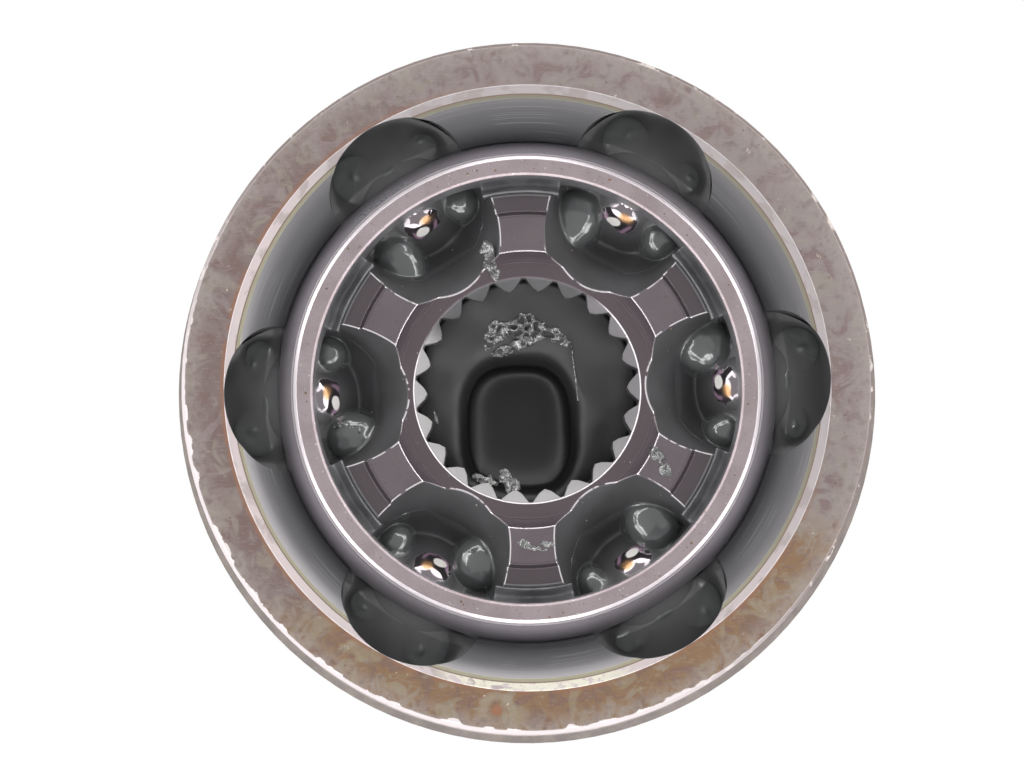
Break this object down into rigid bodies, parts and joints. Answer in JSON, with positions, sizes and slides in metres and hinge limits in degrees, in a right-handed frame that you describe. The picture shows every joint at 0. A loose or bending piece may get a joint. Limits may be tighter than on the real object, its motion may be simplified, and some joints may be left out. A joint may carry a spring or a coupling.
{
  "type": "constant-velocity joint",
  "caption": "Fixed ball constant-velocity joint: bell with splined stub, caged balls in curved tracks and a splined inner race, bending steering angle to a half shaft.",
  "frame": {"origin": "joint centre, on the axis in the plane of the ball centres", "axes": "+Z along the joint's axis, out of the bell's mouth towards the half shaft; the hub stub points along -Z; +X through the middle of one ball"},
  "size_m": [0.079, 0.079, 0.13],
  "materials": {
    "bell_steel": "forged and turned steel, tarnished brown",
    "race_steel": "ground satin steel",
    "cage_steel": "ground satin steel",
    "ball_steel": "polished bearing steel",
    "spring_steel": "drawn wire",
    "grease": "wet dark grease"
  },
  "bodies": {
    "bell": {"outer_race": "bell_steel", "grease_pack": "grease"},
    "race": {"inner_race": "race_steel", "snap_ring": "spring_steel"},
    "cage": {"cage": "cage_steel"},
    "ball_1": {"ball_1": "ball_steel"},
    "ball_2": {"ball_2": "ball_steel"},
    "ball_3": {"ball_3": "ball_steel"},
    "ball_4": {"ball_4": "ball_steel"},
    "ball_5": {"ball_5": "ball_steel"},
    "ball_6": {"ball_6": "ball_steel"}
  },
  "joints": [
    {"name": "shaft_tilt", "type": "hinge", "parent": "bell", "child": "race", "pos_m": [0, 0, 0], "axis": [0, 1, 0], "range_deg": [-42, 42]},
    {"name": "cage_tilt", "type": "hinge", "parent": "bell", "child": "cage", "pos_m": [0, 0, 0], "axis": [0, 1, 0], "range_deg": [-21, 21]},
    {"name": "ball_1_slide", "type": "slide", "parent": "cage", "child": "ball_1", "axis": [1, 0, 0], "range_m": [-0.00154, 0.00154]},
    {"name": "ball_2_roll", "type": "hinge", "parent": "bell", "child": "ball_2", "pos_m": [0, 0, 0.0043], "axis": [-0.866, 0.5, 0], "range_deg": [-10.84, 10.84]},
    {"name": "ball_3_roll", "type": "hinge", "parent": "bell", "child": "ball_3", "pos_m": [0, 0, 0.0043], "axis": [-0.866, -0.5, 0], "range_deg": [-10.84, 10.84]},
    {"name": "ball_4_slide", "type": "slide", "parent": "cage", "child": "ball_4", "axis": [-1, 0, 0], "range_m": [-0.00154, 0.00154]},
    {"name": "ball_5_roll", "type": "hinge", "parent": "bell", "child": "ball_5", "pos_m": [0, 0, 0.0043], "axis": [0.866, -0.5, 0], "range_deg": [-10.84, 10.84]},
    {"name": "ball_6_roll", "type": "hinge", "parent": "bell", "child": "ball_6", "pos_m": [0, 0, 0.0043], "axis": [0.866, 0.5, 0], "range_deg": [-10.84, 10.84]}
  ],
  "couplings": [
    {"joint": "cage_tilt", "follows": "shaft_tilt", "ratio": 0.5},
    {"joint": "ball_1_slide", "follows": "shaft_tilt", "m_per_rad": -0.0021022},
    {"joint": "ball_2_roll", "follows": "shaft_tilt", "ratio": 0.25797},
    {"joint": "ball_3_roll", "follows": "shaft_tilt", "ratio": -0.25797},
    {"joint": "ball_4_slide", "follows": "shaft_tilt", "m_per_rad": 0.0021022},
    {"joint": "ball_5_roll", "follows": "shaft_tilt", "ratio": -0.25797},
    {"joint": "ball_6_roll", "follows": "shaft_tilt", "ratio": 0.25797}
  ]
}
